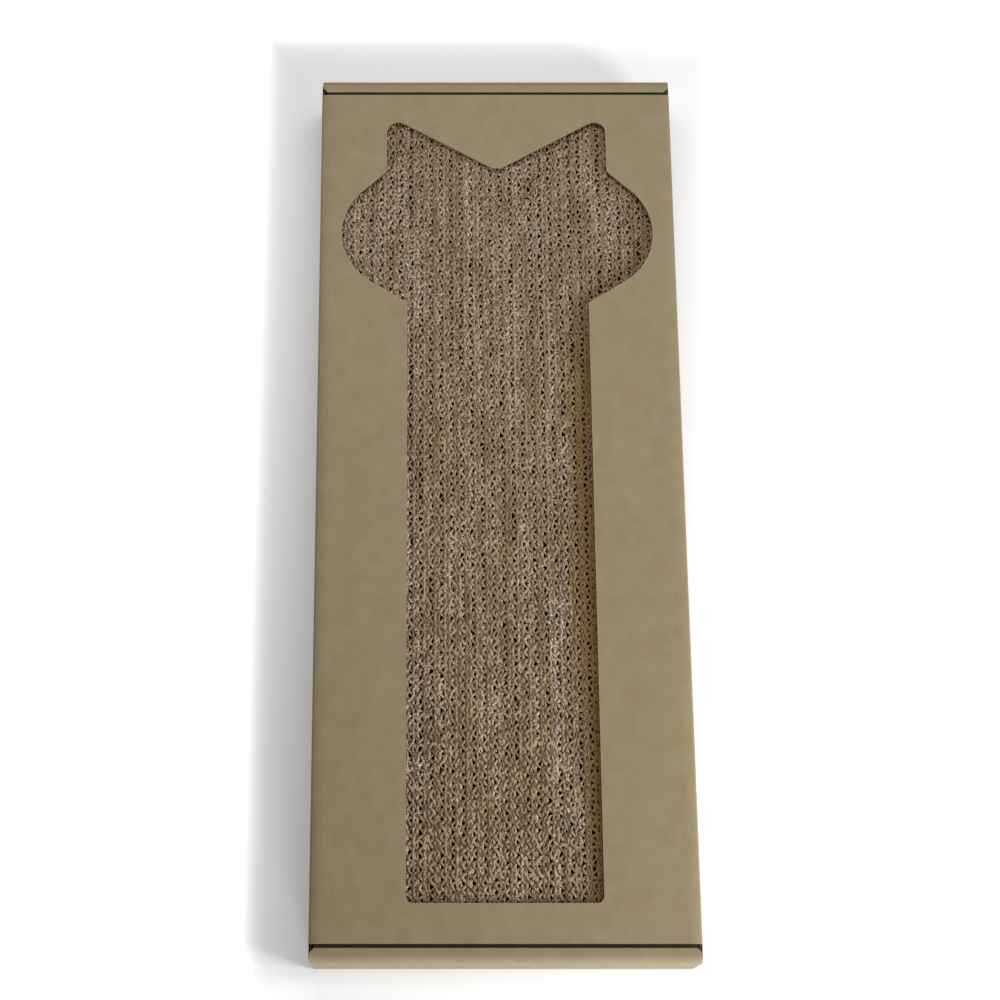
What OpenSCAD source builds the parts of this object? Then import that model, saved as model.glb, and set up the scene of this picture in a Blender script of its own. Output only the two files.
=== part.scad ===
// Lying cat scratcher: a flat carton with a cat-shaped window over a pad of corrugated strips.
// X runs across, Y along towards the head of the window, Z up. The origin is in the middle of the
// bottom face. The pad sets the carton's inside, and the carton's folds and end flaps follow it.

/* [Pad strips] */
// Number of corrugated strips standing side by side
strip_count = 35; // [8:1:45]
// Thickness of one double-wall strip
strip_t = 6.9; // [4:0.05:9]
// Height of the lowest strip
strip_h = 43.5; // [30:0.1:80]
// Length of every strip
strip_l = 605; // [400:1:900]
// How much the highest strip stands above the lowest one
strip_rise = 0.2; // [0:0.1:0.4]

/* [Board] */
// Thickness of the carton board
board_t = 1.6; // [1:0.1:3]
// Outer radius of the long folds
fold_r = 2; // [1.8:0.1:5]

/* [Carton ends] */
// How far a closed end stands out past the end edge of the top panel
shoulder_l = 12; // [5.5:0.1:14]
// Reach of a tuck tab from its fold
tab_l = 18; // [10:0.5:24]
// Radius of the free corners of a tuck tab
tab_corner_r = 5; // [1:0.5:6]
// How much wider a tuck tab is at its fold than inside the carton
tab_flare = 3; // [1:0.1:3.4]
// Reach of a dust flap from its fold
dust_flap_l = 37; // [20:1:40]
// Slope of a dust flap's lower edge in degrees
dust_flap_lower_slope = 29; // [28:1:38]
// Slope of a dust flap's upper edge in degrees
dust_flap_upper_slope = 8; // [7:1:15]
// Height of the glue flap inside the left side
glue_flap_h = 32; // [10:1:36]

/* [Window] */
// Width of the window's long body
body_w = 125; // [60:1:150]
// Margin between the window and the near end of the top panel
near_margin = 25; // [15:0.5:120]
// Margin between the ear tips and the far end of the top panel
far_margin = 21.6; // [15:0.1:80]
// Radius of the two near corners of the window
near_corner_r = 4.5; // [1:0.5:20]
// Radius of the cheeks
cheek_r = 43.2; // [24:0.1:48]
// Distance of a cheek's centre from the middle line
cheek_x = 65; // [52:0.5:76]
// Drop of a cheek's centre below the ear tips
cheek_drop = 85.5; // [64:0.1:110]
// Slope of the chin line in degrees
chin_slope = 32; // [10:1:60]
// Direction, seen from a cheek's centre, where the cheek runs into its upper straight, in degrees
cheek_turn = 48; // [40:1:66]
// Distance of the ears' outer edges from the middle line
ear_x = 77.2; // [66:0.1:90]
// Radius of the ear tips
ear_tip_r = 8; // [3:0.5:8]
// Radius of the board's corner below each ear
ear_base_r = 5; // [1:0.5:6]
// Width of the flat between the ears
brow_w = 6; // [6:1:60]
// Drop of that flat below the ear tips
brow_drop = 35.8; // [10:0.1:60]

/* [Fits] */
// Gap between the pad and the bottom panel
seat_gap = 0.1; // [0.05:0.05:0.4]
// Gap between the pad and the side walls
side_gap = 0.25; // [0.1:0.05:1]
// Free play between the pad and the folded dust flaps at each end
end_play = 2.1; // [2:0.1:3]
// Gap between the highest strip and the tuck tabs
pad_tab_gap = 0.4; // [0.3:0.1:1]
// Least gap between a tuck tab that swings out and the top panel
tuck_gap = 0.1; // [0.1:0.05:0.5]
// Gap between a dust flap's upper edge and the tuck tab over it
flap_tab_gap = 0.7; // [0.5:0.1:2]
// Gap between a folded flap and the board beside it
flap_gap = 0.2; // [0.1:0.05:0.4]
// Gap round each hinge fold
hinge_gap = 0.15; // [0.1:0.05:0.3]
// How far a closure stays inside the carton's outer sides
closure_inset = 1; // [0.5:0.1:2]
// How far the raw edge of the left side stays above the ground
raw_edge_lift = 0.2; // [0.1:0.1:0.6]

/* [Hidden] */
// Share of a closure's swing that its tuck tab folds back by
tab_fold_share = 0.5;
// Shares of strip_rise, taken by the strips in turn
rise_shares = [0, 0.6, 0.3, 1, 0.5, 0.8, 0.2];
strip_names = [for (i = [1:strip_count]) str("strip_", i < 10 ? "0" : "", i)];
carton_names = [
    "bottom_panel", "left_side_panel", "right_side_panel", "top_panel", "glue_flap",
    "near_closure", "near_tuck_tab", "near_left_dust_flap", "near_right_dust_flap",
    "far_closure", "far_tuck_tab", "far_left_dust_flap", "far_right_dust_flap"
];

half_t = board_t / 2;

// The pad and the inside of the carton. The inner roundings of the long folds lift the pad a
// little. A tuck tab's inner edge rises by tab_lift while its closure starts to swing open.
fold_in = fold_r - board_t;
fold_lift = side_gap < fold_in ? fold_in - sqrt(fold_in * fold_in - pow(fold_in - side_gap, 2)) : 0;
pad_w = strip_count * strip_t;
pad_z = board_t + fold_lift + seat_gap;
pad_top = pad_z + strip_h + strip_rise;
inner_w = pad_w + 2 * side_gap + board_t;
box_w = inner_w + 2 * board_t;
pad_x = -inner_w / 2 + board_t + side_gap;
tab_z = pad_top + pad_tab_gap + half_t;
tab_lift = pow(tab_l * (1 - tab_fold_share), 2) / (2 * (tab_z - half_t));
top_z = tab_z + half_t + tab_lift + tuck_gap;
box_h = top_z + board_t;

// Places along the carton, from the middle outwards
flap_y = strip_l / 2 + end_play + half_t;
closure_y = flap_y + board_t + flap_gap;
top_l = 2 * (closure_y + half_t - shoulder_l);
side_l = 2 * (flap_y - half_t - hinge_gap);
bottom_l = 2 * (closure_y - half_t - hinge_gap);
hinge_x = box_w / 2 - half_t;

// Closure and tuck tab
closure_w = box_w - 2 * closure_inset;
tab_turn = 90 * tab_fold_share;
closure_top_outer = tab_z - half_t - hinge_gap;
closure_top_inner = tab_z - half_t * (1 + sin(tab_turn)) / cos(tab_turn) - hinge_gap;
tab_w = inner_w - 2 * hinge_gap - 2 * flap_gap;
tab_shoulder_w = tab_w + tab_flare;

// Dust flap
flap_z = board_t + flap_gap;
flap_top = tab_z - half_t - flap_tab_gap;

// Window outline, with the ear tips at tip_y
tip_y = top_l / 2 - far_margin;
near_y = -top_l / 2 + near_margin;
brow_y = tip_y - brow_drop;
cheek_y = tip_y - cheek_drop;
tip_x = ear_x - ear_tip_r;
tip_mid_y = tip_y - ear_tip_r;
brow_reach = norm([tip_x - brow_w / 2, tip_mid_y - brow_y]);
brow_slope = atan2(tip_mid_y - brow_y, tip_x - brow_w / 2) + asin(ear_tip_r / brow_reach);
chin_x = cheek_x + cheek_r * sin(chin_slope);
chin_y = cheek_y - cheek_r * cos(chin_slope);
throat_y = chin_y - (chin_x - body_w / 2) * tan(chin_slope);
temple_x = cheek_x + cheek_r * cos(cheek_turn);
temple_y = cheek_y + cheek_r * sin(cheek_turn);
ear_base_y = temple_y + (temple_x - ear_x) / tan(cheek_turn);
base_reach = ear_base_r / tan(90 - cheek_turn / 2);
half_outline = concat(
    arc([body_w / 2 - near_corner_r, near_y + near_corner_r], near_corner_r, -90, 0),
    [[body_w / 2, throat_y]],
    arc([cheek_x, cheek_y], cheek_r, chin_slope - 90, cheek_turn),
    arc([ear_x + ear_base_r, ear_base_y + base_reach], ear_base_r, 180 + cheek_turn, 180),
    arc([tip_x, tip_mid_y], ear_tip_r, 0, 90 + brow_slope),
    [[brow_w / 2, brow_y]]
);

// Points along an arc between two directions, at most 5 degrees apart
function arc(centre, r, from, to) = let (n = ceil(abs(to - from) / 5))
    [for (i = [0:n]) let (a = from + (to - from) * i / n) centre + r * [cos(a), sin(a)]];

// A profile drawn in Y and Z, drawn out along X over the width w
module across(w) {
    translate([-w / 2, 0, 0])
        rotate([90, 0, 90])
            linear_extrude(height = w)
                children();
}

// A profile drawn in X and Z, drawn out along Y over the length l
module along(l) {
    translate([0, l / 2, 0])
        rotate([90, 0, 0])
            linear_extrude(height = l)
                children();
}

// A plate from x1 to x2 and of the length l, lying at the height z
module plate(x1, x2, l, z) {
    translate([x1, -l / 2, z])
        cube([x2 - x1, l, board_t]);
}

// Quarter of a folded board in section, its corner to the lower left
module fold_section() {
    difference() {
        intersection() {
            translate([fold_r, fold_r])
                circle(r = fold_r, $fn = 48);
            square(fold_r);
        }
        translate([fold_r, fold_r])
            circle(r = fold_in, $fn = 48);
    }
}

// The window's outline: its right half from the near edge up to the brow, and the left half back
module window_outline() {
    polygon(concat(half_outline, [for (i = [len(half_outline) - 1:-1:0])
        [-half_outline[i][0], half_outline[i][1]]]));
}

module bottom_panel() {
    color("#8f7f60")
        plate(-box_w / 2 + board_t + fold_r, box_w / 2 - fold_r, bottom_l, 0);
}

module top_panel() {
    color("#93846a")
        translate([0, 0, top_z])
            linear_extrude(height = board_t)
                difference() {
                    square([box_w - 2 * fold_r, top_l], center = true);
                    window_outline();
                }
}

// The left side ends in a raw edge beside the fold of the glue flap
module left_side_panel() {
    color("#8d7d5e")
        along(side_l) {
            translate([-box_w / 2, raw_edge_lift])
                square([board_t, box_h - fold_r - raw_edge_lift]);
            translate([-box_w / 2, box_h])
                mirror([0, 1])
                    fold_section();
        }
}

module right_side_panel() {
    color("#94856a")
        along(side_l) {
            translate([box_w / 2 - board_t, fold_r])
                square([board_t, box_h - 2 * fold_r]);
            translate([box_w / 2, box_h])
                rotate(180)
                    fold_section();
            translate([box_w / 2, 0])
                mirror([1, 0])
                    fold_section();
        }
}

// The glue flap folds up from the bottom panel and is stuck to the inside of the left side
module glue_flap() {
    color("#8a7a5c")
        along(strip_l) {
            translate([-box_w / 2 + board_t, fold_r])
                square([board_t, glue_flap_h - fold_r]);
            translate([-box_w / 2 + board_t, 0])
                fold_section();
        }
}

// An end closure, for the near end. It turns about the bottom fold, so its lower edge is round,
// and its upper edge slants to let the tuck tab fold inwards.
module closure_plate() {
    across(closure_w) {
        translate([-closure_y, half_t])
            circle(r = half_t, $fn = 48);
        polygon([
            [-closure_y - half_t, half_t],
            [-closure_y + half_t, half_t],
            [-closure_y + half_t, closure_top_inner],
            [-closure_y - half_t, closure_top_outer]
        ]);
    }
}

// A tuck tab, for the near end, with a round fold, slanted shoulder ends and rounded free corners
module tuck_tab_plate() {
    inner_y = -closure_y + tab_l;
    intersection() {
        across(tab_shoulder_w) {
            translate([-closure_y, tab_z])
                circle(r = half_t, $fn = 48);
            translate([-closure_y, tab_z - half_t])
                square([tab_l, board_t]);
        }
        translate([0, 0, tab_z - board_t])
            linear_extrude(height = 2 * board_t) {
                polygon([
                    [-tab_shoulder_w / 2, -closure_y - board_t],
                    [tab_shoulder_w / 2, -closure_y - board_t],
                    [tab_shoulder_w / 2, -closure_y],
                    [tab_w / 2, -closure_y + half_t + hinge_gap],
                    [tab_w / 2, inner_y - tab_corner_r],
                    [tab_w / 2 - tab_corner_r, inner_y - tab_corner_r],
                    [tab_w / 2 - tab_corner_r, inner_y],
                    [-tab_w / 2 + tab_corner_r, inner_y],
                    [-tab_w / 2 + tab_corner_r, inner_y - tab_corner_r],
                    [-tab_w / 2, inner_y - tab_corner_r],
                    [-tab_w / 2, -closure_y + half_t + hinge_gap],
                    [-tab_shoulder_w / 2, -closure_y]
                ]);
                for (side = [-1, 1])
                    translate([side * (tab_w / 2 - tab_corner_r), inner_y - tab_corner_r])
                        circle(r = tab_corner_r, $fn = 48);
            }
    }
}

// A dust flap, for the near left corner. It turns about its upright fold, and its slanted edges
// keep it clear of the closure and of the tuck tab while they all swing.
module dust_flap_plate() {
    lower_rise = dust_flap_l * tan(dust_flap_lower_slope);
    upper_fall = dust_flap_l * tan(dust_flap_upper_slope);
    translate([-hinge_x, -flap_y, 0]) {
        translate([0, 0, flap_z])
            cylinder(r = half_t, h = flap_top - flap_z, $fn = 48);
        translate([0, half_t, 0])
            rotate([90, 0, 0])
                linear_extrude(height = board_t)
                    polygon([
                        [0, flap_z],
                        [dust_flap_l, flap_z + lower_rise],
                        [dust_flap_l, flap_top - upper_fall],
                        [0, flap_top]
                    ]);
    }
}

module near_closure() {
    color("#a39587") closure_plate();
}

module far_closure() {
    color("#978f6f") mirror([0, 1, 0]) closure_plate();
}

module near_tuck_tab() {
    color("#8a7a65") tuck_tab_plate();
}

module far_tuck_tab() {
    color("#978f6f") mirror([0, 1, 0]) tuck_tab_plate();
}

module near_left_dust_flap() {
    color("#8a7a5c") dust_flap_plate();
}

module near_right_dust_flap() {
    color("#8a7a5c") mirror([1, 0, 0]) dust_flap_plate();
}

module far_left_dust_flap() {
    color("#8a7a5c") mirror([0, 1, 0]) dust_flap_plate();
}

module far_right_dust_flap() {
    color("#8a7a5c") mirror([1, 0, 0]) mirror([0, 1, 0]) dust_flap_plate();
}

// One corrugated strip on edge, counted from the left
module strip(i) {
    rise = strip_rise * rise_shares[i % len(rise_shares)];
    color(i % 2 == 0 ? "#7c6a55" : "#736350")
        translate([pad_x + (i - 1) * strip_t, -strip_l / 2, pad_z])
            cube([strip_t, strip_l, strip_h + rise]);
}

bottom_panel();
left_side_panel();
right_side_panel();
top_panel();
glue_flap();
near_closure();
near_tuck_tab();
near_left_dust_flap();
near_right_dust_flap();
far_closure();
far_tuck_tab();
far_left_dust_flap();
far_right_dust_flap();
for (i = [1:strip_count])
    strip(i);
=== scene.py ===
"""Lying cat scratcher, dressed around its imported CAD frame.

A flat carton of thin kraft board with a cat-shaped window, over a pad of corrugated strips that
stand on edge. Every length is in metres in the frame's axes: X across, Y towards the head of the
window, Z up. Board pieces are cut flat, as a die cuts them, and then wrapped round their folds.
"""
import math

import bmesh
import bpy
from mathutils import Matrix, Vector, noise
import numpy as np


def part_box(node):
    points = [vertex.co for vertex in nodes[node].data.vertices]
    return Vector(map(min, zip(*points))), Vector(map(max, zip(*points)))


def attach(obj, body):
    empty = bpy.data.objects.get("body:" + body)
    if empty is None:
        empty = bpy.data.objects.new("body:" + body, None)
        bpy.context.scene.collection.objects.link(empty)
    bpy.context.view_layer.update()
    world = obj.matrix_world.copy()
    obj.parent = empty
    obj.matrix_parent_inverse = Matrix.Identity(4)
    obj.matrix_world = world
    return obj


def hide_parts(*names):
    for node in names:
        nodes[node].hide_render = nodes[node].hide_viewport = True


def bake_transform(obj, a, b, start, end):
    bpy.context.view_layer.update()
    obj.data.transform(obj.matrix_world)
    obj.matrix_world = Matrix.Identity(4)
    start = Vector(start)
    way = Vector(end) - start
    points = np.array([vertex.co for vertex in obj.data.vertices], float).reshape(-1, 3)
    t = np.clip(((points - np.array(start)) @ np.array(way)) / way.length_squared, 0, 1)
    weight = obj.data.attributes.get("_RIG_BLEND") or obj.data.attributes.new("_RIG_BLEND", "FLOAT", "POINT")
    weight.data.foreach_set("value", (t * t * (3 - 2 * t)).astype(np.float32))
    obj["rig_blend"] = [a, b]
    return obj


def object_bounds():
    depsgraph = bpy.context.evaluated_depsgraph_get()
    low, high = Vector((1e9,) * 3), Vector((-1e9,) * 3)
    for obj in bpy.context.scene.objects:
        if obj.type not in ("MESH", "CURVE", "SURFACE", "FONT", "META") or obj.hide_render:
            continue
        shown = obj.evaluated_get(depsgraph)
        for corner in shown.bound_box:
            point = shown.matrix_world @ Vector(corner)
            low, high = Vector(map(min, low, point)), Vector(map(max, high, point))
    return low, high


MM = 0.001

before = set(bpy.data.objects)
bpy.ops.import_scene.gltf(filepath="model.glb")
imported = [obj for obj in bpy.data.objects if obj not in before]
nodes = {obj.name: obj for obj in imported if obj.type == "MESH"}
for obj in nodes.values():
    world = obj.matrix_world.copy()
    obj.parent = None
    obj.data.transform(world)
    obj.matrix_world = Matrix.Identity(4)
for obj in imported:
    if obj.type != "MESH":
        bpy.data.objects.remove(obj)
cad_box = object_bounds()


# Helpers for nodes and colours

def linear(hex_colour):
    """Turns an sRGB hex colour to the linear RGBA that a shader takes."""
    parts = [int(hex_colour[i:i + 2], 16) / 255 for i in (1, 3, 5)]
    return [p / 12.92 if p <= 0.04045 else ((p + 0.055) / 1.055) ** 2.4 for p in parts] + [1.0]


def add_node(tree, kind, settings=None, **inputs):
    """Adds a shader node, sets its settings, and sets or links its inputs, named with _ for a space.
    An input's number can follow i, as in i0, for a node whose inputs share a name."""
    added = tree.nodes.new(kind)
    for name, value in (settings or {}).items():
        setattr(added, name, value)
    for name, value in inputs.items():
        numbered = len(name) == 2 and name[0] == "i" and name[1].isdigit()
        socket = added.inputs[int(name[1])] if numbered else added.inputs[name.replace("_", " ")]
        if isinstance(value, bpy.types.NodeSocket):
            tree.links.new(value, socket)
        else:
            socket.default_value = value
    return added


def add_math(tree, operation, a, b=0.0):
    """Adds a Math node for one operation on two values and returns its result."""
    return add_node(tree, "ShaderNodeMath", {"operation": operation}, i0=a, i1=b).outputs[0]


def add_mix(tree, share, a, b):
    """Mixes two colours by a share and returns the result."""
    mixed = add_node(tree, "ShaderNodeMix", {"data_type": "RGBA", "blend_type": "MIX"}, i0=share)
    for socket, value in ((mixed.inputs[6], a), (mixed.inputs[7], b)):
        if isinstance(value, bpy.types.NodeSocket):
            tree.links.new(value, socket)
        else:
            socket.default_value = value
    return mixed.outputs[2]


def scaled_place(tree, x, y, z):
    """The place in the frame, in steps of x, y and z metres."""
    place = add_node(tree, "ShaderNodeTexCoord").outputs["Object"]
    mapping = add_node(tree, "ShaderNodeMapping", {"vector_type": "POINT"}, Vector=place)
    mapping.inputs["Scale"].default_value = (1 / x, 1 / y, 1 / z)
    return mapping.outputs["Vector"]


def add_noise(tree, steps, detail=2.0, roughness=0.5):
    """Noise whose grains are steps metres long in X, Y and Z. The mean is about 0.5."""
    return add_node(tree, "ShaderNodeTexNoise", Vector=scaled_place(tree, *steps), Scale=1.0,
                    Detail=detail, Roughness=roughness).outputs["Fac"]


def spread(tree, value, low, high, to_low=0.0, to_high=1.0):
    """Spreads a value from one range to another, held at the ends."""
    return add_node(tree, "ShaderNodeMapRange", {"clamp": True}, Value=value, From_Min=low,
                    From_Max=high, To_Min=to_low, To_Max=to_high).outputs["Result"]


def attribute(tree, name):
    """A vertex attribute of the piece, from 0 to 1."""
    return add_node(tree, "ShaderNodeAttribute", {"attribute_name": name}).outputs["Fac"]


def tint(tree, shade, mask, share, colour, span=(0.0, 1.0)):
    """Mixes a colour into a shade, by none to a share while a mask goes across a span."""
    return add_mix(tree, spread(tree, mask, *span, 0.0, share), shade, linear(colour))


def shown_directly(tree):
    """1 for the rays that end in the picture, straight, by a mirror or through glass, else 0."""
    path = add_node(tree, "ShaderNodeLightPath")
    seen = add_math(tree, "MAXIMUM", path.outputs["Is Camera Ray"], path.outputs["Is Glossy Ray"])
    return add_math(tree, "MAXIMUM", seen, path.outputs["Is Transmission Ray"])


def new_material(name, roughness, specular):
    """A material with nothing but a Principled shader of that finish."""
    material = bpy.data.materials.new(name)
    material.use_nodes = True
    tree = material.node_tree
    shader = tree.nodes["Principled BSDF"]
    shader.inputs["Roughness"].default_value = roughness
    shader.inputs["Specular IOR Level"].default_value = specular
    return material, tree, shader


def roughen(tree, shader, height, strength, depth):
    """Gives a shader a fine relief, depth metres high."""
    bump = add_node(tree, "ShaderNodeBump", Height=height, Strength=strength, Distance=depth)
    tree.links.new(bump.outputs["Normal"], shader.inputs["Normal"])


# Materials

def kraft_liner_material():
    """Plain brown kraft liner of the carton. Calendered paper: matt, smooth to the hand, with short
    fibres and a cloudy formation that only show close by, and paler, rougher cut edges. The tab's
    dip and the floor of the slit under the top panel's edge are painted almost black, as painted
    shade of that slit, which also shows as a dark band when the closure is opened."""
    material, tree, shader = new_material("kraft_liner_board", roughness=0.68, specular=0.35)
    shader.inputs["IOR"].default_value = 1.45
    # Formation clouds are 6 to 12 mm across. Fibres are 1 to 3 mm long; they are drawn 0.25 mm
    # wide, coarser than real ones, so that they show at all.
    clouds = add_noise(tree, (9 * MM, 11 * MM, 9 * MM), detail=3.0)
    fibres_along = add_noise(tree, (0.35 * MM, 2.2 * MM, 0.5 * MM), detail=1.0)
    fibres_across = add_noise(tree, (1.6 * MM, 0.3 * MM, 0.5 * MM), detail=1.0)
    grain = add_noise(tree, (0.5 * MM, 0.7 * MM, 0.5 * MM), detail=2.0)
    shade = add_mix(tree, spread(tree, clouds, 0.3, 0.7), linear("#8d7e5f"), linear("#948667"))
    shade = tint(tree, shade, fibres_along, 0.5, "#a89b80", span=(0.62, 0.8))
    shade = tint(tree, shade, fibres_across, 0.45, "#76674c", span=(0.64, 0.8))
    shade = tint(tree, shade, attribute(tree, "cut_edge"), 0.55, "#a8987c")
    # Painted shade: the tab's dip and the floor of the slit under the top panel's edge are painted almost
    # black, as the slit's shade
    shade = tint(tree, shade, attribute(tree, "painted_slit_shade"), 0.93, "#261807")
    tree.links.new(shade, shader.inputs["Base Color"])
    roughen(tree, shader, grain, strength=0.12, depth=0.05 * MM)
    return material


def pad_paper_material():
    """Recycled paper of the pad's strips. Unsized and fibrous: fully matt, browner inside the flutes,
    with a paler fuzz where the saw cut it, and a slightly different tone in every strip and sheet.
    A band close under the window's right rim is painted browner and darker, as painted shade,
    with a line of painted light in it towards the near end. The strips' ends are open to the air,
    so their walls faded like the carton."""
    material, tree, shader = new_material("recycled_fluting_paper", roughness=0.95, specular=0.15)
    place = add_node(tree, "ShaderNodeTexCoord").outputs["Object"]
    flat = add_node(tree, "ShaderNodeSeparateXYZ", Vector=place)
    strip_step = add_math(tree, "FLOOR", add_math(tree, "DIVIDE", flat.outputs["X"], STRIP_T))
    strip_tone = add_node(tree, "ShaderNodeTexWhiteNoise", {"noise_dimensions": "1D"},
                          W=strip_step).outputs["Value"]
    to_end = add_math(tree, "ABSOLUTE", flat.outputs["Y"])
    # Fibre fuzz on the saw cut is 0.3 to 1 mm, loose pale tufts are 1 to 2 mm, and the darker
    # stains are some cm long and follow the strips.
    fuzz = add_noise(tree, (0.7 * MM, 0.9 * MM, 0.7 * MM), detail=3.0, roughness=0.65)
    tufts = add_noise(tree, (1.1 * MM, 1.6 * MM, 1.1 * MM), detail=1.0)
    stains = add_noise(tree, (7 * MM, 34 * MM, 8 * MM), detail=2.0)
    wall = add_mix(tree, stains, linear("#a87c47"), linear("#b98b53"))
    wall = tint(tree, wall, to_end, 0.85, "#8c7756", span=FADED_END)
    even = add_mix(tree, spread(tree, fuzz, 0.3, 0.7), linear("#957f5e"), linear("#c0a583"))
    torn = add_mix(tree, spread(tree, tufts, 0.35, 0.68), linear("#8b7963"), linear("#dbc8b1"))
    cut = add_mix(tree, attribute(tree, "torn"), even, torn)
    cut = tint(tree, cut, strip_tone, 0.3, "#8d775d")
    cut = tint(tree, cut, attribute(tree, "dull"), 0.6, "#755f45")
    cut = tint(tree, cut, stains, 0.4, "#7b6447", span=(0.4, 0.63))
    # Painted shade: a warm brown band close under the window's right rim, where the rim's shadow falls
    cut = tint(tree, cut, attribute(tree, "painted_rim_shade"), 0.6, "#83602c")
    # Painted light: a paler line close under the rim, strongest towards the near end, lightens the shade
    # there
    cut = tint(tree, cut, attribute(tree, "paler"), 0.8, "#ae8e62")
    shade = add_mix(tree, spread(tree, attribute(tree, "saw_cut"), 0.3, 1.0), wall, cut)
    tree.links.new(shade, shader.inputs["Base Color"])
    roughen(tree, shader, fuzz, strength=0.5, depth=0.25 * MM)
    return material


def floor_material():
    """White paper ground. It is lit like the rest and lifted for the camera's rays alone, so that it
    shows as white and keeps the carton's shadow. The lift grows with the distance to the carton."""
    material, tree, shader = new_material("white_ground", roughness=1.0, specular=0.0)
    shader.inputs["Base Color"].default_value = linear("#f1f2f4")
    place = add_node(tree, "ShaderNodeTexCoord").outputs["Object"]
    flat = add_node(tree, "ShaderNodeSeparateXYZ", Vector=place)
    beside = add_math(tree, "SUBTRACT", add_math(tree, "ABSOLUTE", flat.outputs["X"]), cad_box[1][0])
    beyond = add_math(tree, "SUBTRACT", add_math(tree, "ABSOLUTE", flat.outputs["Y"]), cad_box[1][1])
    before = add_math(tree, "SUBTRACT", cad_box[0][1], flat.outputs["Y"])
    gap = add_math(tree, "MAXIMUM", beside, add_math(tree, "MULTIPLY", beyond, END_GAP_SHARE))
    lift = spread(tree, gap, *FAR_SPAN, FLOOR_LIFT, FAR_LIFT)
    fade = add_math(tree, "POWER", spread(tree, gap, *SHADOW_SPAN), SHADOW_CURVE)
    lift = add_math(tree, "ADD", lift, add_math(tree, "MULTIPLY", fade, SHADOW_LIFT))
    lift = add_math(tree, "ADD", lift, spread(tree, before, *FRONT_SPAN, 0.0, FRONT_LIFT))
    glow = add_node(tree, "ShaderNodeEmission", Color=linear("#ffffff"),
                    Strength=add_math(tree, "MULTIPLY", shown_directly(tree), lift))
    total = add_node(tree, "ShaderNodeAddShader", i0=shader.outputs[0], i1=glow.outputs[0])
    tree.links.new(total.outputs[0], tree.nodes["Material Output"].inputs["Surface"])
    return material


# Sizes and settings, part by part

# The carton's board: two liners and a fluted layer, of which a ribbon behind each cut edge shows
BOARD_T = 1.6 * MM
LINER_T = 0.3 * MM
FLUTING_T = 0.22 * MM
FLUTING_PITCH = 3.2 * MM
FLUTING_REACH = 2.5 * MM
FLUTING_SETBACK = 0.1 * MM
FLUTING_RISE = (BOARD_T - 2 * LINER_T - FLUTING_T) / 2
CUT_RING = 0.7 * MM
FOLD_LAP = 2 * MM

# How finely curves are drawn, and what counts as the same place
STEPS_PER_FLUTE = 8
STEPS_PER_CORNER = 6
BEND_STEP = 15
SHARP_ANGLE = 35
WELD = 0.001 * MM
SLACK = 0.01 * MM

# The top panel dips a little before its long folds
BROW_R = 30 * MM
BROW_ANGLE = 12
LONG_FOLD_R = 2 * MM

# The closed ends: the shoulder beside the slit, and the dip of the tuck tab under the top panel
SHOULDER_DROP = 0.2 * MM
SHOULDER_R = 5 * MM
SHOULDER_RUN = 3.9 * MM
DIP_ANGLE = 88
DIP_R = 0.7 * MM
DIP_FOOT_R = 0.3 * MM
# The width of the slit's floor under the top panel's edge. The board is painted almost black over it, as
# painted shade, and that fades out over the same width again
SLIT_FLOOR_W = 2.4 * MM
TAB_Z = 47.04 * MM
TAB_CORNER_R = 5 * MM
# The shoulder's bend joins the closure to the tab, from this far below it to this far below its top
JOIN_BELOW = 2 * MM
JOIN_FROM_TOP = 0.6 * MM
# Places past the shoulder's crest, and the half width of the shoulder and the tab there, in mm
SHOULDER_PROFILE = ((0.9, 122.9), (1.8, 122.2), (2.8, 121.2), (3.9, 120.2), (4.8, 119.7))
# The side boards are cut lower where the shoulder lies over them
NOTCH = 1 * MM
# The dust flaps taper from their root to their free edge
FLAP_ROOT = 1.4 * MM
FLAP_LOWER_SLOPE = 29
FLAP_UPPER_SLOPE = 8

# The pad's double-wall strips
STRIP_T = 6.9 * MM
C_PITCH = 7.74 * MM
B_PITCH = 6.38 * MM
# Sheets of a strip, from its left side: middle, rise, pitch, and lip. The saw drags each sheet's
# cut edge out into a lip of loose fibres, as a share of LIP_T. A liner has no wave.
LINERS = ((0.2 * MM, 0.0, 1.0, 0.48), (2.75 * MM, 0.0, 1.0, 0.68), (6.7 * MM, 0.0, 1.0, 0.5))
FLUTED_LAYERS = ((1.47 * MM, 0.95 * MM, B_PITCH, 0.8), (4.73 * MM, 1.63 * MM, C_PITCH, 0.8))
LINER_COLUMNS = 400
LIP_T = 2.8 * MM
# The paper's own thickness below the lip, as a share of LIP_T
PAPER_SHARE = 0.11
# The outermost lips stay this close to the middle, inside the side boards
LIP_LIMIT = 120.6 * MM
# A sheet's ends lie this far inside its strip's
END_SETBACK = 0.5 * MM
# Distances from the middle between which the walls of the strips' ends turn faded
FADED_END = (285 * MM, 300 * MM)

# The crushed edge: how deep it goes, how much it is crushed where it is even and how much more
# where it is torn, how far that leans and sinks it, and the share of a wave's rise by which its
# left turns are pushed over
CRUSH_DEPTH = 1.4 * MM
CRUSH_EVEN, CRUSH_TORN = 0.6, 0.8
LEAN = 1.1 * MM
DENT = 1.3 * MM
PUSH = 0.3
# Under the tuck tabs, past TAB_SHELTER, the edge is pressed flat and keeps little of its crush
TAB_SHELTER = 276 * MM
PRESS_FADE = 4 * MM
PRESS = 0.3 * MM
PRESSED_CRUSH = 0.2

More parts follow.
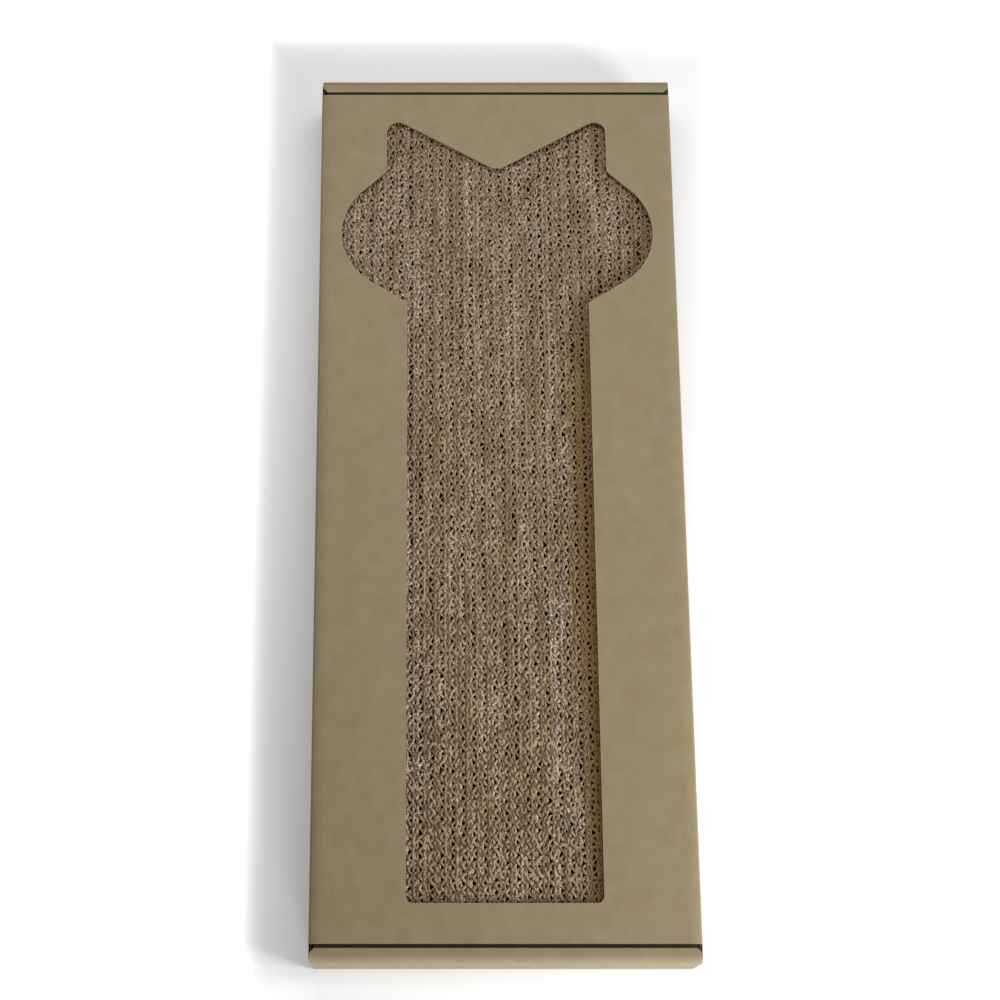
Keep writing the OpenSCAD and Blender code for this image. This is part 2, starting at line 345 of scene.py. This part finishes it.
# Grains of the noise along a sheet: their length, and a channel that keeps them apart
TURN_GRAIN = (70 * MM, 0.0)
LEAN_GRAIN = (2.6 * MM, 7.0)
SLIP_GRAIN = (3.1 * MM, 17.0)
DENT_GRAIN = (2.2 * MM, 27.0)
LIP_GRAIN = (2.4 * MM, 37.0)
PATCH_GRAIN = (10 * MM, 47.0)
SHEET_GRAIN = (60 * MM, 57.0)
# How far the waves drift, in radians, and how much a sheet's own grain changes its tornness
TURN_DRIFT = 0.6
SHEET_TORN = 0.7
# A sheet's dullness, and how much its own grain lowers it
DULL_MEAN, DULL_CHANGE = 0.35, 1.1
# A lip's raggedness where it is even, and how much more it is where it is torn
FLUTE_RAGGED = (0.6, 0.6)
LINER_RAGGED = (0.4, 0.5)
# What thickens a lip, as shares of it: all over, patches across the sheets, the sheet's own grain,
# and the left part of the window's head
LIP_GROWTH = 0.06
PATCH_GROWTH, PATCH_W = 0.5, 9 * MM
SHEET_GROWTH = 0.3
HEAD_GROWTH, HEAD_W = 0.14, 100 * MM

# Seeds of the noise: the waves' phases, and the steps between strips and between sheets
PHASE_SEED = 7
STRIP_SEED = 11.3
LINER_SEED = 0.37
FLUTE_SEED = 0.61
SHEET_SEED = 7.1

# How the pad changes with the place. A value named OVER is the length over which a change comes.
# The places of the band and the line below are distances to the window's right rim.
RIM_STEP = 1 * MM
# The distance to it beyond the window's ends, where no rim is near
NO_RIM = 1.0
# The window's head
HEAD_FROM, HEAD_OVER = 95 * MM, 50 * MM
# The band of painted shade under the rim, its narrower part towards the near end, and what it loses in the
# head
RIM_SHADE_W, RIM_SHADE_OVER = 19 * MM, 9 * MM
NARROWING, NARROW_FROM, NARROW_OVER = 6.5 * MM, -110 * MM, 60 * MM
RIM_SHADE_LOSS = 0.55
# The line of painted light in it, which makes the band paler
PALE_PEAK, PALE_PLACE, PALE_OVER = 1.2, 5.5 * MM, 4.5 * MM
PALE_FROM, PALE_FULL_OVER = 100 * MM, 300 * MM
# Tornness: in areas, along the pad's left side, in a band just inside the band of painted shade, in the head
TORN_MEAN, TORN_CHANGE = 0.38, 0.9
TORN_AREA, TORN_CHANNEL = (34 * MM, 90 * MM), 5.0
TORN_SIDE_X, TORN_SIDE_OVER = -30 * MM, 45 * MM
TORN_BAND_PEAK, TORN_BAND_PLACE, TORN_BAND_OVER = 0.85, 25 * MM, 14 * MM
TORN_HEAD = 0.35
TORN_PATCH, TORN_PATCH_CHANNEL = (12 * MM, 25 * MM), 9.0

# The camera, found from the photograph's edges
CAMERA_PLACE = (-0.0512, -0.4021, 1.3282)
CAMERA_TILT = 17.22
CAMERA_LENS = 72.2
CAMERA_SENSOR = 36
CAMERA_SHIFT = 0.0763

# The ground, just below the carton
GROUND_HALF = 6
GROUND_DROP = 0.05 * MM

# The lights, which face the middle of the part
MIDDLE = Vector((0, 0, 0.04))
KEY_HEADING = Vector((2.05, -1.32, 1.0))
KEY_DISTANCE = 1.05
KEY_SIZE = 0.38
KEY_WATTS = 9.9
FILL_PLACE = Vector((-0.023, 0.351, 0.647))
FILL_SIZE = 0.5
FILL_WATTS = 2.35
FRONT_PLACE = Vector((0.25, -1.6, 0.16))
FRONT_SIZE = 0.3
FRONT_WATTS = 14
FRONT_COLOUR = (0.84, 0.87, 1.0)
SKY_STRENGTH = 0.2

# The ground's lift: beside the carton, far off, at the end of its shadow and before its near end.
# Each span is the distances between which it comes.
FLOOR_LIFT = 0.16
FAR_LIFT, FAR_SPAN = 0.8, (0.03, 0.45)
SHADOW_LIFT, SHADOW_SPAN, SHADOW_CURVE = 0.45, (0.003, 0.045), 6.0
FRONT_LIFT, FRONT_SPAN = 0.15, (0.002, 0.012)
# Distances past the ends count less than those beside the carton
END_GAP_SHARE = 0.68


# Boards that are cut flat and wrapped round their folds

def fold_path(start, heading, steps):
    """The outer face of a board in section, from a start in two coordinates and a heading in degrees.
    Each step is ("run", length) or ("bend", radius, degrees); a bend turns away from the outer side,
    and a negative one towards it. Returns samples of (reach, place, outward)."""
    place, angle, reach = Vector(start), math.radians(heading), 0.0
    ahead = Vector((math.cos(angle), math.sin(angle)))
    samples = [(reach, place.copy(), Vector((-ahead.y, ahead.x)))]
    for step in steps:
        ahead = Vector((math.cos(angle), math.sin(angle)))
        outward = Vector((-ahead.y, ahead.x))
        if step[0] == "run":
            place = place + ahead * step[1]
            reach += step[1]
            samples.append((reach, place.copy(), outward))
            continue
        radius, turn = step[1], math.radians(step[2])
        side = 1 if turn > 0 else -1
        centre = place - outward * radius * side
        parts = max(2, math.ceil(abs(step[2]) / BEND_STEP))
        for part in range(1, parts + 1):
            now = angle - turn * part / parts
            outward = Vector((-math.sin(now), math.cos(now)))
            place = centre + outward * radius * side
            samples.append((reach + radius * abs(turn) * part / parts, place.copy(), outward))
        reach += radius * abs(turn)
        angle -= turn
    return samples


def wrap(samples, reach, depth):
    """The place in section of a point of the flat board, reach along it and depth below its face."""
    k = 0
    while k < len(samples) - 2 and reach > samples[k + 1][0]:
        k += 1
    (r0, p0, n0), (r1, p1, n1) = samples[k], samples[k + 1]
    share = (reach - r0) / (r1 - r0)
    return p0.lerp(p1, share) - n0.lerp(n1, share) * depth


def add_outline(bm, loop):
    """Adds a closed outline of points in X and Y, and returns its edges."""
    verts = [bm.verts.new((x, y, 0)) for x, y in loop]
    return [bm.edges.new(pair) for pair in zip(verts, verts[1:] + verts[:1])]


def liner_sheet(loops, depth):
    """One liner, cut to its outlines, whose upper side lies at a depth below the outer face."""
    bm = bmesh.new()
    cut = bm.verts.layers.float.new("cut_edge")
    edges = [edge for loop in loops for edge in add_outline(bm, loop)]
    bmesh.ops.triangle_fill(bm, use_beauty=True, use_dissolve=False, edges=edges, normal=(0, 0, 1))
    bmesh.ops.inset_region(bm, faces=bm.faces[:], thickness=CUT_RING, depth=0,
                           use_boundary=True, use_even_offset=True)
    for vert in bm.verts:
        vert[cut] = 1.0 if vert.is_boundary else 0.0
    bmesh.ops.translate(bm, verts=bm.verts[:], vec=(0, 0, -depth))
    bmesh.ops.solidify(bm, geom=bm.faces[:], thickness=LINER_T)
    return bm


def fluting_ribbon(loop, wave_axis):
    """The fluted layer behind a cut edge: a ribbon inside the outline, waved along one axis. The
    outline runs with the board on its left."""
    points = [Vector(point) for point in loop]
    fine = []
    for here, there in zip(points, points[1:] + points[:1]):
        parts = max(1, math.ceil((there - here).length / (FLUTING_PITCH / STEPS_PER_FLUTE)))
        fine += [here.lerp(there, part / parts) for part in range(parts)]
    bm = bmesh.new()
    cut = bm.verts.layers.float.new("cut_edge")
    edges = add_outline(bm, fine)
    rim = {vert: k for k, vert in enumerate(bm.verts)}
    grown = bmesh.ops.extrude_edge_only(bm, edges=edges)["geom"]
    inner = {}
    for vert in grown:
        if isinstance(vert, bmesh.types.BMVert):
            inner[vert] = next(rim[e.other_vert(vert)] for e in vert.link_edges
                               if e.other_vert(vert) in rim)
    for verts, move in ((rim, FLUTING_SETBACK), (inner, FLUTING_REACH)):
        for vert, k in verts.items():
            ahead = (fine[(k + 1) % len(fine)] - fine[k - 1]).normalized()
            vert.co += Vector((-ahead.y, ahead.x, 0)) * move
            turn = 2 * math.pi * vert.co[wave_axis] / FLUTING_PITCH
            vert.co.z = -BOARD_T / 2 + FLUTING_RISE * math.sin(turn)
            vert[cut] = 1.0 if vert in rim else 0.0
    bmesh.ops.solidify(bm, geom=bm.faces[:], thickness=FLUTING_T)
    return bm


def wrapped_board(loops, samples, along, wave_axis, mirror=(1, 1, 1), joined=(0, 0), slit_shade_span=(1, 0)):
    """A board cut to outlines in reach and width and wrapped round its folds. The width lies along
    one axis of the frame, and the section in the two others, in their order. Joined tells whether
    its least and its greatest reach meet another board without a cut. The last argument gives the
    reaches over which the board is painted almost black, as painted shade of the slit under the
    top panel's edge."""
    whole = bmesh.new()
    whole.verts.layers.float.new("cut_edge")
    parts = [liner_sheet(loops, 0), liner_sheet(loops, BOARD_T - LINER_T)]
    parts += [fluting_ribbon(loop, wave_axis) for loop in loops]
    for part in parts:
        for reach, _, _ in samples[1:-1]:
            bmesh.ops.bisect_plane(part, geom=part.verts[:] + part.edges[:] + part.faces[:],
                                   dist=WELD, plane_co=(reach, 0, 0), plane_no=(1, 0, 0))
        sheet = bpy.data.meshes.new("sheet")
        part.to_mesh(sheet)
        part.free()
        whole.from_mesh(sheet)
        bpy.data.meshes.remove(sheet)
    section = [axis for axis in range(3) if axis != along]
    cut = whole.verts.layers.float["cut_edge"]
    painted_slit_shade = whole.verts.layers.float.new("painted_slit_shade")
    seams = [reach for reach, meets in zip((0, samples[-1][0]), joined) if meets]
    for vert in whole.verts:
        if any(abs(vert.co.x - seam) < FLUTING_REACH for seam in seams):
            vert[cut] = 0.0
        # Painted shade of the slit, between the reaches of the last argument
        vert[painted_slit_shade] = 1.0 if slit_shade_span[0] < vert.co.x < slit_shade_span[1] + SLACK else 0.0
        first, second = wrap(samples, vert.co.x, -vert.co.z)
        width = vert.co.y
        vert.co[section[0]] = first * mirror[section[0]]
        vert.co[section[1]] = second * mirror[section[1]]
        vert.co[along] = width * mirror[along]
    if whole.calc_volume(signed=True) < 0:
        bmesh.ops.reverse_faces(whole, faces=whole.faces[:])
    return whole


def make_piece(name, bm, material):
    """Turns a bmesh into a piece with its material, sharp at its corners and smooth elsewhere."""
    for face in bm.faces:
        face.smooth = True
    for edge in bm.edges:
        if len(edge.link_faces) == 2 and edge.calc_face_angle(0.0) > math.radians(SHARP_ANGLE):
            edge.smooth = False
    mesh = bpy.data.meshes.new(name)
    bm.to_mesh(mesh)
    bm.free()
    mesh.materials.append(material)
    piece = bpy.data.objects.new(name, mesh)
    bpy.context.scene.collection.objects.link(piece)
    return piece


def box_outline(reach, low, high):
    """A plain outline, reach long and from low to high in width, with the board on its left."""
    return [(0, low), (reach, low), (reach, high), (0, high)]


def face_outlines(node):
    """The outlines of a flat node's upper face, each with the board on its left. The one that
    reaches farthest in Y comes first."""
    bm = bmesh.new()
    bm.from_mesh(nodes[node].data)
    bmesh.ops.remove_doubles(bm, verts=bm.verts[:], dist=WELD)
    top = max(vert.co.z for vert in bm.verts)
    lower = [f for f in bm.faces if any(abs(vert.co.z - top) > SLACK for vert in f.verts)]
    bmesh.ops.delete(bm, geom=lower, context="FACES")
    following = {}
    for edge in bm.edges:
        if edge.is_boundary:
            corner = edge.link_loops[0]
            following[corner.vert] = corner.link_loop_next.vert
    loops = []
    while following:
        vert, after = following.popitem()
        loop = [vert]
        while after in following:
            loop.append(after)
            after = following.pop(after)
        loops.append([(v.co.x, v.co.y) for v in loop])
    bm.free()
    return sorted(loops, key=lambda loop: -max(p[1] for p in loop))


# The carton

def build_sleeve(kraft):
    """The four sides and the glue flap, wrapped round the carton's long folds."""
    low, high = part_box("top_panel")
    side_low, side_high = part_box("right_side_panel")
    left_low, left_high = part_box("left_side_panel")
    bottom_low, bottom_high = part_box("bottom_panel")
    glue_low, glue_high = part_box("glue_flap")
    radius = LONG_FOLD_R
    brow_fold = [("bend", BROW_R, BROW_ANGLE), ("bend", radius, 90 - BROW_ANGLE)]
    notch = fold_path((0, 0), 0, brow_fold)[-1][0] + NOTCH
    brow_end = fold_path((0, 0), 0, brow_fold)[-1][1]
    flat_x = side_high.x - brow_end.x
    top_z = high.z
    wall = side_high.z + brow_end.y - radius
    quarter = math.pi / 2 * radius

    loops = [[(max(-flat_x, min(flat_x, x)) + flat_x, y) for x, y in loop]
             for loop in face_outlines("top_panel")]
    path = fold_path((-flat_x, top_z), 0, [("run", 2 * flat_x)])
    top = make_piece("top_board", wrapped_board(loops, path, 1, 1, joined=(1, 1)), kraft)
    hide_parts("top_panel")

    path = fold_path((flat_x, top_z), 0, brow_fold + [("run", wall), ("bend", radius, 90)])
    outline = box_outline(path[-1][0], side_low.y, side_high.y)
    outline[0:1] = [(0, low.y), (notch, low.y), (notch, side_low.y)]
    outline[-1:] = [(notch, side_high.y), (notch, high.y), (0, high.y)]
    right = make_piece("right_board", wrapped_board([outline], path, 1, 1, joined=(1, 1)), kraft)
    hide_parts("right_side_panel")

    path = fold_path((left_low.x, left_low.z), 90,
                     [("run", wall + radius - left_low.z), ("bend", radius, 90 - BROW_ANGLE),
                      ("bend", BROW_R, BROW_ANGLE)])
    reach = path[-1][0]
    lowered = reach - notch
    outline = [(0, left_low.y), (lowered, left_low.y), (lowered, low.y), (reach, low.y),
               (reach, high.y), (lowered, high.y), (lowered, left_high.y), (0, left_high.y)]
    left = make_piece("left_board", wrapped_board([outline], path, 1, 1, joined=(0, 1)), kraft)
    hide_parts("left_side_panel")

    path = fold_path((bottom_high.x, 0), 180, [("run", bottom_high.x - bottom_low.x)])
    outline = box_outline(path[-1][0], bottom_low.y + FOLD_LAP, bottom_high.y - FOLD_LAP)
    bottom = make_piece("bottom_board", wrapped_board([outline], path, 1, 1, joined=(1, 1)), kraft)
    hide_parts("bottom_panel")

    path = fold_path((bottom_low.x, 0), 180,
                     [("bend", radius, 90), ("run", glue_high.z - radius)])
    outline = box_outline(quarter + glue_high.z - radius, glue_low.y, glue_high.y)
    glue = make_piece("glue_board", wrapped_board([outline], path, 1, 1, joined=(1, 0)), kraft)
    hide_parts("glue_flap")

    for piece in (top, right, left, bottom, glue):
        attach(piece, "sleeve")


def rounded_end(reach, half_width, radius):
    """The free end of a tab at a reach, right corner first, as points along its outline."""
    turns = [math.radians(90 * k / STEPS_PER_CORNER) for k in range(STEPS_PER_CORNER + 1)]
    corner = [(math.sin(turn), math.cos(turn)) for turn in turns]
    right = [(reach - radius + radius * a, -half_width + radius - radius * b) for a, b in corner]
    return right + [(r, -w) for r, w in reversed(right)]


def build_bottom_fold(end, side, wall_y, radius, half_width, kraft):
    """The bottom fold, which rounds up into the closure's wall."""
    bottom_end = wall_y + radius
    path = fold_path((bottom_end + FOLD_LAP, 0), 180,
                     [("run", FOLD_LAP), ("bend", radius, 90), ("run", FOLD_LAP)])
    outline = box_outline(path[-1][0], -half_width, half_width)
    fold = make_piece(f"{end}_fold_board",
                      wrapped_board([outline], path, 0, 0, (1, side, 1), joined=(1, 1)),
                      kraft)
    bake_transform(fold, "sleeve", f"{end}_closure", start=(0, bottom_end * side, 0),
             end=(0, wall_y * side, radius))


def build_closure(end, side, wall_y, radius, half_width, kraft):
    """The closure's wall, its shoulder, and the tuck tab that dips under the top panel."""
    wall_foot = radius + FOLD_LAP
    shoulder_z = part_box("top_panel")[1].z - SHOULDER_DROP
    wall_top = shoulder_z - SHOULDER_R
    tab_low, tab_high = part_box(f"{end}_tuck_tab")
    tab_end = -min(abs(tab_low.y), abs(tab_high.y))
    crease_y = wall_y + SHOULDER_R + SHOULDER_RUN
    dip = math.radians(DIP_ANGLE)
    drop = shoulder_z - TAB_Z - (DIP_R + DIP_FOOT_R) * (1 - math.cos(dip))
    dip_run = drop / math.sin(dip)
    dip_end = crease_y + (DIP_R + DIP_FOOT_R) * math.sin(dip) + dip_run * math.cos(dip)
    path = fold_path((wall_y, wall_foot), 90,
                     [("run", wall_top - wall_foot), ("bend", SHOULDER_R, 90), ("run", SHOULDER_RUN),
                      ("bend", DIP_R, DIP_ANGLE), ("run", dip_run), ("bend", DIP_FOOT_R, -DIP_ANGLE),
                      ("run", SLIT_FLOOR_W), ("run", SLIT_FLOOR_W), ("run", tab_end - dip_end - 2 * SLIT_FLOOR_W)])
    # Painted shade: from the tab's dip to the end of the slit's floor the board is painted almost black, as
    # the slit's shade
    slit_shade_span = (path[-3][0] - SLIT_FLOOR_W - dip_run, path[-3][0])
    shoulder = wall_top - wall_foot + SHOULDER_R * math.pi / 2
    profile = [(0, half_width)]
    profile += [(shoulder + a * MM, b * MM) for a, b in SHOULDER_PROFILE]
    lower = [(r, -w) for r, w in profile]
    outline = lower + rounded_end(path[-1][0], profile[-1][1], TAB_CORNER_R) + profile[::-1]
    closure = make_piece(f"{end}_closure_board",
                         wrapped_board([outline], path, 0, 0, (1, side, 1), (1, 0), slit_shade_span),
                         kraft)
    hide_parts(f"{end}_closure", f"{end}_tuck_tab")
    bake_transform(closure, f"{end}_closure", f"{end}_tuck_tab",
             start=(0, wall_y * side, wall_top - JOIN_BELOW),
             end=(0, wall_y * side, shoulder_z - JOIN_FROM_TOP))


def build_dust_flap(body, side, hand, kraft):
    """A dust flap, which folds in from its side panel."""
    flap_low, flap_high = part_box(body)
    _, panel_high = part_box("right_side_panel")
    side_x, side_end = panel_high.x, -panel_high.y
    outer_y = -max(abs(flap_low.y), abs(flap_high.y))
    radius = side_end - outer_y
    free_x = min(abs(flap_low.x), abs(flap_high.x))
    path = fold_path((side_x, side_end), -90,
                     [("bend", radius, 90), ("run", side_x - radius - free_x)])
    reach = path[-1][0]
    flap_run = reach - FLAP_ROOT
    outline = [(0, flap_low.z), (FLAP_ROOT, flap_low.z),
               (reach, flap_low.z + flap_run * math.tan(math.radians(FLAP_LOWER_SLOPE))),
               (reach, flap_high.z - flap_run * math.tan(math.radians(FLAP_UPPER_SLOPE))),
               (FLAP_ROOT, flap_high.z), (0, flap_high.z)]
    flap = make_piece(f"{body}_board",
                      wrapped_board([outline], path, 2, 0, (hand, side, 1), joined=(1, 0)),
                      kraft)
    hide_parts(body)
    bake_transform(flap, "sleeve", body, start=(side_x * hand, side_end * side, 0),
             end=((side_x - radius) * hand, outer_y * side, 0))


def build_end(end, side, kraft):
    """One closed end. The near end's values are mirrored for the far end."""
    low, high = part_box(f"{end}_closure")
    wall_y = -max(abs(low.y), abs(high.y))
    radius = -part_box("bottom_panel")[1].y - wall_y
    build_bottom_fold(end, side, wall_y, radius, high.x, kraft)
    build_closure(end, side, wall_y, radius, high.x, kraft)
    for name, hand in (("left", -1), ("right", 1)):
        build_dust_flap(f"{end}_{name}_dust_flap", side, hand, kraft)


# The pad

def held(value):
    """A value held between 0 and 1."""
    return min(1.0, max(0.0, value))


def window_rim():
    """The right edge of the window: its X at even steps in Y, from its lowest Y, and that Y."""
    loop = face_outlines("top_panel")[1]
    start = min(y for _, y in loop)
    end = max(y for _, y in loop)
    rim = []
    for k in range(int((end - start) / RIM_STEP) + 1):
        level = start + k * RIM_STEP
        rim.append(max([x0 + (x1 - x0) * (level - y0) / (y1 - y0)
                        for (x0, y0), (x1, y1) in zip(loop, loop[1:] + loop[:1])
                        if (y0 <= level) != (y1 <= level)] or [0.0]))
    return rim, start


def from_rim(x, y, rim):
    """How far a place lies to the left of the window's right rim. Beyond the window's ends there
    is no rim near."""
    places, start = rim
    k = round((y - start) / RIM_STEP)
    return places[k] - x if 0 <= k < len(places) else NO_RIM


def head_share(y):
    """How far a place lies into the window's head, from 0 to 1."""
    return held((y - HEAD_FROM) / HEAD_OVER)


def painted_rim_shade_at(x, y, rim):
    """How much painted shade the pad gets at a place under the window's right rim, from 0 to 1.
    The band is narrower in the last part towards the near end."""
    width = RIM_SHADE_W - NARROWING * held((NARROW_FROM - y) / NARROW_OVER)
    rim_shade = held((width - from_rim(x, y, rim)) / RIM_SHADE_OVER)
    return rim_shade * (1 - RIM_SHADE_LOSS * head_share(y))


def painted_rim_light_at(x, y, rim):
    """How much painted light makes the pad paler close under the window's right rim, from 0 to 1
    at the near end.
    """
    line = held(PALE_PEAK - abs(from_rim(x, y, rim) - PALE_PLACE) / PALE_OVER)
    return line * held((PALE_FROM - y) / PALE_FULL_OVER)


def patches(x, y, size, channel):
    """Noise over the pad, with patches of a size in X and Y, from about -1 to 1."""
    return noise.noise((x / size[0], y / size[1], channel))


def roughness_at(x, y, rim):
    """How torn the saw left the pad at a place, from 0 to 1. It is torn the most along its left
    side, and in a band just inside the band of painted shade along the right rim."""
    area = TORN_MEAN + TORN_CHANGE * patches(x, y, TORN_AREA, TORN_CHANNEL)
    side = (TORN_SIDE_X - x) / TORN_SIDE_OVER
    band = TORN_BAND_PEAK - abs(from_rim(x, y, rim) - TORN_BAND_PLACE) / TORN_BAND_OVER
    more = TORN_HEAD * (head_share(y) + patches(x, y, TORN_PATCH, TORN_PATCH_CHANNEL))
    return held(max(area, side, band) + more)


def grain_at(y, seed, grain):
    """Noise along a sheet, from about -1 to 1."""
    length, channel = grain
    return noise.noise((y / length, seed, channel))


def crushed(x, y, z, rise, swing, rough, seed):
    """A place on the saw cut, as the saw left it: it leans, slipped along the sheet and is a
    little lower. Under the tuck tabs it is pressed flat."""
    free = 1 - held((abs(y) - TAB_SHELTER) / PRESS_FADE)
    crush = (CRUSH_EVEN + CRUSH_TORN * rough) * (PRESSED_CRUSH + (1 - PRESSED_CRUSH) * free)
    lean = grain_at(y, seed, LEAN_GRAIN)
    slip = grain_at(y, seed, SLIP_GRAIN)
    dent = abs(grain_at(y, seed, DENT_GRAIN))
    # The saw pushed each wave's left turns over, so the holes beside them are smaller
    x += rise * PUSH * free * (1 - swing) / 2
    x = max(-LIP_LIMIT, min(LIP_LIMIT, x + lean * crush * LEAN))
    return x, y + slip * crush * LEAN, z - (1 - free) * PRESS - dent * crush * DENT


def lip_at(x, y, sheet, swing, rough, streak, patch, seed):
    """How thick a sheet's lip of loose fibres is at a place, as a share of LIP_T."""
    _, rise, _, lip = sheet
    even, more = FLUTE_RAGGED if rise else LINER_RAGGED
    ragged = grain_at(y, seed, LIP_GRAIN) * (even + more * rough) - PUSH * swing
    growth = PATCH_GROWTH * grain_at(y, patch, PATCH_GRAIN) + SHEET_GROWTH * streak + LIP_GROWTH
    growth += HEAD_GROWTH * head_share(y) * held(0.5 - x / HEAD_W)
    return held(lip * (1 + ragged + growth))


def paper_wave(bm, layers, columns, sheet, phase, strip, seed, rim):
    """One sheet of a strip, from end to end and from foot to saw cut. Its wave stands upright, and
    at the cut it is crushed and frayed."""
    centre, rise, pitch, _ = sheet
    low, high = strip
    levels = (low.z, high.z - CRUSH_DEPTH, high.z)
    length = high.y - low.y - 2 * END_SETBACK
    for vert in bmesh.ops.create_grid(bm, x_segments=columns, y_segments=2, size=1)["verts"]:
        row = round(vert.co.y + 1)
        at_cut = row == 2
        y = low.y + END_SETBACK + (vert.co.x + 1) / 2 * length
        turn = 2 * math.pi * y / pitch + phase + TURN_DRIFT * grain_at(y, seed, TURN_GRAIN)
        swing = math.sin(turn) if rise else 0.0
        x = low.x + centre + rise * swing
        z = levels[row]
        streak = grain_at(y, seed * SHEET_SEED, SHEET_GRAIN)
        rough = held(roughness_at(x, y, rim) + streak * SHEET_TORN)
        if at_cut:
            x, y, z = crushed(x, y, z, rise, swing, rough, seed)
        vert.co = (x, y, z)
        vert[layers["saw_cut"]] = 1.0 if at_cut else 0.0
        vert[layers["torn"]] = rough
        # Painted shade under the window's right rim, and a line of painted light in it
        vert[layers["painted_rim_shade"]] = painted_rim_shade_at(x, y, rim)
        vert[layers["paler"]] = painted_rim_light_at(x, y, rim)
        vert[layers["dull"]] = held(DULL_MEAN - DULL_CHANGE * streak)
        thickness = PAPER_SHARE
        if at_cut:
            thickness = lip_at(x, y, sheet, swing, rough, streak, low.x / PATCH_W, seed)
        vert[layers["thickness"]][0] = thickness


def build_strip(name, seed, paper, rim):
    """One double-wall strip: three liners with a B flute and a C flute between them."""
    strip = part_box(name)
    length = strip[1].y - strip[0].y
    bm = bmesh.new()
    marks = ("saw_cut", "torn", "painted_rim_shade", "paler", "dull")
    layers = {mark: bm.verts.layers.float.new(mark) for mark in marks}
    layers["thickness"] = bm.verts.layers.deform.verify()
    for k, sheet in enumerate(LINERS):
        paper_wave(bm, layers, LINER_COLUMNS, sheet, 0.0, strip, seed + LINER_SEED * k, rim)
    for k, sheet in enumerate(FLUTED_LAYERS, start=1):
        columns = round(length / sheet[2] * STEPS_PER_FLUTE)
        phase = 2 * math.pi * noise.random()
        paper_wave(bm, layers, columns, sheet, phase, strip, seed + FLUTE_SEED * k, rim)
    piece = make_piece(f"{name}_board", bm, paper)
    piece.vertex_groups.new(name="thickness")
    wall = piece.modifiers.new("paper", "SOLIDIFY")
    wall.thickness = LIP_T
    wall.offset = 0.0
    wall.vertex_group = "thickness"
    wall.thickness_vertex_group = 0.0
    wall.use_rim = True
    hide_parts(name)
    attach(piece, "pad")


# The stage

def soft_box(name, place, size, watts, colour=(1.0, 1.0, 1.0)):
    """A square soft box that faces the middle of the part."""
    lamp = bpy.data.lights.new(name, "AREA")
    lamp.shape = "SQUARE"
    lamp.size = size
    lamp.energy = watts
    lamp.color = colour
    box = bpy.data.objects.new(name, lamp)
    box.location = place
    box.rotation_euler = (MIDDLE - place).to_track_quat("-Z", "Y").to_euler()
    box.visible_camera = False
    bpy.context.scene.collection.objects.link(box)


def build_camera(scene):
    """The camera of the photograph."""
    camera = bpy.data.cameras.new("photo_camera")
    camera.lens = CAMERA_LENS
    camera.sensor_width = CAMERA_SENSOR
    camera.shift_x = CAMERA_SHIFT
    viewer = bpy.data.objects.new("photo_camera", camera)
    viewer.location = CAMERA_PLACE
    viewer.rotation_euler = (math.radians(CAMERA_TILT), 0, 0)
    scene.collection.objects.link(viewer)
    scene.camera = viewer


def build_ground(scene):
    """The white ground that the carton lies on."""
    ground = bmesh.new()
    bmesh.ops.create_grid(ground, x_segments=2, y_segments=2, size=GROUND_HALF)
    bmesh.ops.translate(ground, verts=ground.verts[:], vec=(0, 0, -GROUND_DROP))
    mesh = bpy.data.meshes.new("ground")
    ground.to_mesh(mesh)
    ground.free()
    mesh.materials.append(floor_material())
    floor = bpy.data.objects.new("ground", mesh)
    scene.collection.objects.link(floor)


def build_sky(scene):
    """A pale sky, which is white wherever it shows."""
    world = bpy.data.worlds.new("pale_sky")
    world.use_nodes = True
    scene.world = world
    tree = world.node_tree
    sky = tree.nodes["Background"]
    sky.inputs["Color"].default_value = linear("#ffffff")
    strength = spread(tree, shown_directly(tree), 0.0, 1.0, SKY_STRENGTH, 1.0)
    tree.links.new(strength, sky.inputs["Strength"])


def build_stage():
    """The camera, the ground, a low key from the near right, a fill from the far end, a weak bluish
    light from the near one, and the sky."""
    scene = bpy.context.scene
    scene.view_settings.view_transform = "Standard"
    build_camera(scene)
    build_ground(scene)
    soft_box("key_window", MIDDLE + KEY_HEADING.normalized() * KEY_DISTANCE, KEY_SIZE, KEY_WATTS)
    soft_box("fill_far", FILL_PLACE, FILL_SIZE, FILL_WATTS)
    soft_box("low_front", FRONT_PLACE, FRONT_SIZE, FRONT_WATTS, FRONT_COLOUR)
    build_sky(scene)


build_stage()
kraft = kraft_liner_material()
paper = pad_paper_material()
build_sleeve(kraft)
build_end("near", 1, kraft)
build_end("far", -1, kraft)
noise.seed_set(PHASE_SEED)
strips = sorted(name for name in nodes if name.startswith("strip_"))
rim = window_rim()
for k, name in enumerate(strips):
    build_strip(name, STRIP_SEED * k, paper, rim)
